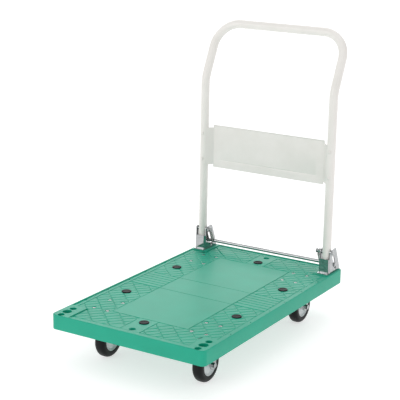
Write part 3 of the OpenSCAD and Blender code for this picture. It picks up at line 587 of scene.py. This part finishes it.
def pull(bm, loop, offset):
    # draws a row of edges out into a wall, and gives back its far edges
    geom = bmesh.ops.extrude_edge_only(bm, edges=loop)["geom"]
    bmesh.ops.translate(bm, vec=offset, verts=[v for v in geom if isinstance(v, bmesh.types.BMVert)])
    return [e for e in geom if isinstance(e, bmesh.types.BMEdge)]


def bend(bm, loop, centre, axis, angle, steps):
    # draws a loop of edges round a curve, and gives back its far edges
    verts = inOrder(v for e in loop for v in e.verts)
    geom = bmesh.ops.spin(bm, geom=verts + loop, cent=centre, axis=axis, angle=angle, steps=steps,
                          use_merge=False)["geom_last"]
    return [e for e in geom if isinstance(e, bmesh.types.BMEdge)]


loop = pull(bm, loop, (0, 0, handle["kinkHeight"] - bendRun - foot))
kinkCentre = (handle["x"], pivot.y + handle["kinkRadius"], handle["kinkHeight"] - bendRun)
loop = bend(bm, loop, kinkCentre, (1, 0, 0), -lean, handle["bendSteps"])
run = handle["leanLength"] - handle["corner"] - bendRun
loop = pull(bm, loop, upward * run)
cornerStart = Vector((handle["x"], pivot.y, handle["kinkHeight"])) + upward * (bendRun + run)
loop = bend(bm, loop, cornerStart - Vector((handle["corner"], 0, 0)), upward.cross(Vector((-1, 0, 0))),
            math.pi / 2, handle["cornerSteps"])
loop = pull(bm, loop, (handle["corner"] - handle["x"], 0, 0))
for edge in loop:  # the last loop lies exactly on the mirror's plane
    for vert in edge.verts:
        vert.co.x = 0
bmesh.ops.mirror(bm, geom=bm.verts[:] + bm.edges[:] + bm.faces[:], axis='X', merge_dist=0.01)
bmesh.ops.holes_fill(bm, edges=[e for e in bm.edges if e.is_boundary], sides=0)
bmesh.ops.recalc_face_normals(bm, faces=bm.faces[:])
makePiece("handleTube", bm, "handle", powderCoat, ["handle_tube"], sharp=40)
print("handle tube made")


# handle panel

panel = {"sheet": 1.2, "bead": 24, "beadHalf": 2.2, "beadDepth": 1.0, "beadEnd": 165, "beadFade": 6,
         "hem": 4, "hemRise": 0.6, "hemLean": 1.4, "faceHalf": 186.4, "notch": 8,
         "wrap": 13.4, "leave": 210, "wrapEnd": 305, "wrapSteps": 12}  # round the tube, in degrees
low, high = boxOf("handle_panel")
faceY = high.y - panel["sheet"] / 2
bm = bmesh.new()
path = [(0, faceY), (panel["beadEnd"] - panel["beadFade"], faceY), (panel["beadEnd"], faceY),
        (panel["faceHalf"] - 1, faceY), (panel["faceHalf"] + 0.8, faceY - 0.6)]
for i in range(panel["wrapSteps"] + 1):
    angle = math.radians(panel["leave"] + (panel["wrapEnd"] - panel["leave"]) * i / panel["wrapSteps"])
    path.append((handle["x"] + panel["wrap"] * math.cos(angle), pivot.y + panel["wrap"] * math.sin(angle)))
verts = [bm.verts.new((x, y, low.z)) for x, y in path]
row = [bm.edges.new(pair) for pair in zip(verts, verts[1:])]
height = high.z - low.z
levels = [0, panel["notch"], panel["bead"] - panel["beadHalf"], panel["bead"],
          panel["bead"] + panel["beadHalf"], height - panel["notch"],
          height - panel["hem"] - panel["hemRise"], height - panel["hem"], height]
for below, above in zip(levels, levels[1:]):
    row = pull(bm, row, (0, 0, above - below))
for vert in bm.verts:  # the pressed bead, and the top edge leaning forward
    level = vert.co.z - low.z
    if abs(level - panel["bead"]) < 0.01 and vert.co.x < panel["beadEnd"] - 1:
        vert.co.y += panel["beadDepth"]
    if abs(level - height) < 0.01 and vert.co.x < panel["faceHalf"] + 0.1:
        vert.co.y -= panel["hemLean"]
gone = [f for f in bm.faces if f.calc_center_median().x > panel["faceHalf"] + 1
        and not panel["notch"] < f.calc_center_median().z - low.z < height - panel["notch"]]
bmesh.ops.delete(bm, geom=gone, context='FACES')
bmesh.ops.mirror(bm, geom=bm.verts[:] + bm.edges[:] + bm.faces[:], axis='X', merge_dist=0.01)
bmesh.ops.recalc_face_normals(bm, faces=bm.faces[:])
bmesh.ops.translate(bm, vec=(0, panel["sheet"] / 2, 0), verts=bm.verts)
facing = sum(f.normal.y * f.calc_area() for f in bm.faces)
if facing > 0:  # the sheet gets its thickness towards the back
    bmesh.ops.reverse_faces(bm, faces=bm.faces[:])
bmesh.ops.solidify(bm, geom=bm.faces[:], thickness=panel["sheet"])
bmesh.ops.recalc_face_normals(bm, faces=bm.faces[:])
makePiece("handlePanel", bm, "handle", powderCoat, ["handle_panel"], sharp=18)

rivet = {"head": 4.5, "height": 2.2, "crown": 0.8, "shank": 2.4, "length": 4}
crown = (rivet["head"] * rivet["crown"], rivet["height"] * rivet["crown"], 1.2)
bm = bmesh.new()
rivetLow, rivetHigh = boxOf("panel_rivets")
for side in (-1, 1):
    for z in (rivetLow.z + rivet["head"], rivetHigh.z - rivet["head"]):
        turned(bm, [(0, -rivet["length"]), (rivet["shank"], -rivet["length"]), (rivet["shank"], 0),
                    (rivet["head"], 0), crown, (0, rivet["height"])],
               (side * handle["x"], rivetLow.y + rivet["height"], z), (0, -1, 0), 24)
makePiece("panelRivets", bm, "handle", powderCoat, ["panel_rivets"])
print("handle panel made")


# softened copies of the pressed steel pieces

def softened(node, name, body, radius):
    # the CAD shape with its sharp edges rounded off
    bm = bmesh.new()
    bm.from_mesh(nodes[node].data)
    bmesh.ops.scale(bm, vec=(1000,) * 3, verts=bm.verts)
    bmesh.ops.remove_doubles(bm, verts=bm.verts, dist=1e-3)
    bmesh.ops.dissolve_limit(bm, angle_limit=math.radians(pressed["flat"]), verts=bm.verts, edges=bm.edges)
    edges = [e for e in bm.edges if e.is_manifold and e.calc_face_angle(0) > math.radians(pressed["edge"])]
    bmesh.ops.bevel(bm, geom=edges, offset=radius, affect='EDGES', segments=2, profile=0.5, material=-1,
                    clamp_overlap=False)
    piece = makePiece(name, bm, body, zincPlate, [node], sharp=25)
    flat = piece.modifiers.new("flatFaces", 'WEIGHTED_NORMAL')  # keeps the big faces' reflections straight
    flat.keep_sharp = True
    flat.weight = 90


pressed = {"bracket": 0.35, "fork": 0.5, "flat": 0.8, "edge": 40}  # two radii, then degrees
for side in ("left", "right"):
    softened(f"bracket_{side}", f"bracket.{side}", "deck", pressed["bracket"])
for side in ("left", "right"):
    softened(f"front_fork_{side}", f"frontFork.{side}", "deck", pressed["fork"])
for side in ("left", "right"):
    softened(f"rear_fork_{side}", f"rearFork.{side}", f"swivel_{side}", pressed["fork"])
print("pressed steel made")


# return springs

spring = {"wire": 0.7, "coil": 4.2, "pitch": 1.56, "turns": 17, "turnSteps": 20, "around": 10,
          "start": 9.2, "pivotLoop": 5.0, "barLoop": 6.0, "overlap": 0.2}
bar = centreOf("release_bar")
reachToBar = math.hypot(bar.y - pivot.y, bar.z - pivot.z)


def rodBetween(bm, start, end):
    # a straight length of wire that ends inside what it joins
    start, end = Vector(start), Vector(end)
    extra = spring["overlap"]
    far = (end - start).length + extra
    turned(bm, [(0, -extra), (spring["wire"], -extra, extra), (spring["wire"], far, extra), (0, far)], start,
           end - start, spring["around"])


for side in ("left", "right"):
    bm = bmesh.new()
    ring = bmesh.ops.create_circle(bm, cap_ends=False, radius=spring["wire"],
                                   segments=spring["around"])["verts"]
    bmesh.ops.rotate(bm, verts=ring, cent=(0, 0, 0), matrix=Matrix.Rotation(math.pi / 2, 3, 'X'))
    bmesh.ops.translate(bm, verts=ring, vec=(spring["coil"], 0, spring["start"]))
    bmesh.ops.spin(bm, geom=ring + inOrder(e for v in ring for e in v.link_edges), cent=(0, 0, 0),
                   axis=(0, 0, 1), dvec=(0, 0, spring["pitch"] / spring["turnSteps"]),
                   angle=math.tau * spring["turns"], steps=spring["turnSteps"] * spring["turns"],
                   use_merge=False)
    bmesh.ops.holes_fill(bm, edges=[e for e in bm.edges if e.is_boundary], sides=0)
    bmesh.ops.recalc_face_normals(bm, faces=bm.faces[:])
    coilEnd = spring["start"] + spring["pitch"] * spring["turns"]
    angles = [i * math.tau / spring["around"] for i in range(spring["around"])]
    circle = [(spring["wire"] * math.cos(angle), spring["wire"] * math.sin(angle)) for angle in angles]
    for loopRadius, z in ((spring["pivotLoop"], 0), (spring["barLoop"], reachToBar)):
        turned(bm, [(loopRadius + r, h) for r, h in circle], (0, 0, z), (1, 0, 0), 36, closed=True)
    rodBetween(bm, (0, 0, spring["pivotLoop"]), (spring["coil"], 0, spring["start"]))
    rodBetween(bm, (spring["coil"], 0, coilEnd), (0, 0, reachToBar - spring["barLoop"]))
    slope = math.pi + math.atan2(bar.y - pivot.y, pivot.z - bar.z)
    place = centreOf(f"release_spring_{side}")
    bmesh.ops.rotate(bm, verts=bm.verts, cent=(0, 0, 0), matrix=Matrix.Rotation(slope, 3, 'X'))
    bmesh.ops.translate(bm, verts=bm.verts, vec=(place.x, pivot.y, pivot.z))
    piece = makePiece(f"returnSpring.{side}", bm, None, springWire,
                      [f"release_spring_{side}"])
    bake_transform(piece)
print("springs made")


# finishes on the CAD nodes that stay

finishes = {"balls": bearingSteel, "plugs": polyethylene}  # the rest is zinc plated
for name, thing in nodes.items():
    if thing.hide_render:  # replaced by a piece above
        continue
    chosen = next((finish for word, finish in finishes.items() if word in name), zincPlate)
    if not thing.material_slots:
        thing.data.materials.append(chosen)
    for place in thing.material_slots:
        place.material = chosen
print("finishes set")


# floor, light and camera

studio = {"floor": 30, "floorGlow": 0.62, "zenith": 0.84, "horizon": 0.66, "gradientEnd": 0.7,
          "key": 8, "fill": 17, "rear": 46}
mesh = bpy.data.meshes.new("studioFloor")
bm = bmesh.new()
bmesh.ops.create_grid(bm, x_segments=1, y_segments=1, size=studio["floor"])
bm.to_mesh(mesh)
bm.free()
floor = bpy.data.objects.new("studioFloor", mesh)
bpy.context.scene.collection.objects.link(floor)
# Matt emulsion paint: an even pale grey that glows a little, as a lit studio floor does
floorPaint, tree, output, place = newMaterial("mattEmulsionPaint")
cloud = addNode(tree, "ShaderNodeTexNoise", values={"Scale": 3.0}, links={"Vector": (place, "Object")})
tone = addNode(tree, "ShaderNodeMix", {"data_type": "RGBA"},
               {"A": toLinear("#cfcfcf"), "B": toLinear("#d3d3d3")}, {"Factor": (cloud, "Fac")})
shader = addNode(tree, "ShaderNodeBsdfPrincipled",
                 values={"Roughness": 0.9, "Emission Color": (1, 1, 1, 1),
                         "Emission Strength": studio["floorGlow"],
                         "Specular IOR Level": 0.1},
                 links={"Base Color": (tone, "Result")})
tree.links.new(shader.outputs["BSDF"], output.inputs["Surface"])
mesh.materials.append(floorPaint)

world = bpy.data.worlds.new("softStudio")
bpy.context.scene.world = world
world.use_nodes = True
tree = world.node_tree
place = addNode(tree, "ShaderNodeTexCoord")
split = addNode(tree, "ShaderNodeSeparateXYZ", links={"Vector": (place, "Generated")})
rise = addNode(tree, "ShaderNodeMapRange",
               values={"From Min": 0.0, "From Max": studio["gradientEnd"],
                       "To Min": studio["horizon"], "To Max": studio["zenith"]},
               links={"Value": (split, "Z")})
tree.links.new(rise.outputs["Result"], tree.nodes["Background"].inputs["Strength"])
tree.nodes["Background"].inputs["Color"].default_value = (1, 1, 1, 1)


def areaLight(name, place, target, size, power, reflectedOnly=False):
    # reflectedOnly: shows in gloss but doesn't light matt surfaces
    lamp = bpy.data.lights.new(name, 'AREA')
    lamp.shape = 'RECTANGLE'
    lamp.size, lamp.size_y = size
    lamp.energy = power
    thing = bpy.data.objects.new(name, lamp)
    bpy.context.scene.collection.objects.link(thing)
    thing.location = place
    thing.visible_diffuse = not reflectedOnly
    thing.rotation_euler = (Vector(target) - Vector(place)).to_track_quat('-Z', 'Y').to_euler()


areaLight("overheadBox", (0.3, 0.6, 3.2), (0, 0, 0.2), (2.4, 1.6), studio["key"])
areaLight("rearBox", (-1.9, 3.1, 1.75), (0, 0, 0.15), (4.4, 1.8), studio["rear"], reflectedOnly=True)
areaLight("frontBox", (-1.6, -3.0, 1.8), (0, 0, 0.2), (1.6, 1.6), studio["fill"])

view = {"place": (1.7404, -2.9035, 1.3335), "azimuth": 31.39, "elevation": 15.27, "roll": 1.0,
        "lens": 113.54, "sensor": 36, "far": 100}
azimuth, elevation, roll = (math.radians(view[k]) for k in ("azimuth", "elevation", "roll"))
back = Vector((math.sin(azimuth) * math.cos(elevation), -math.cos(azimuth) * math.cos(elevation),
               math.sin(elevation)))
across = Vector((math.cos(azimuth), math.sin(azimuth), 0))
above = back.cross(across)
rolledAcross = across * math.cos(roll) + above * math.sin(roll)
rolledAbove = above * math.cos(roll) - across * math.sin(roll)
camera = bpy.data.cameras.new("studioCamera")
camera.lens = view["lens"]
camera.sensor_width = view["sensor"]
camera.clip_end = view["far"]
cameraThing = bpy.data.objects.new("studioCamera", camera)
bpy.context.scene.collection.objects.link(cameraThing)
turn = Matrix((rolledAcross, rolledAbove, back)).transposed().to_4x4()
cameraThing.matrix_world = Matrix.Translation(view["place"]) @ turn
bpy.context.scene.camera = cameraThing
bpy.context.scene.view_settings.view_transform = 'Standard'
print("studio set")
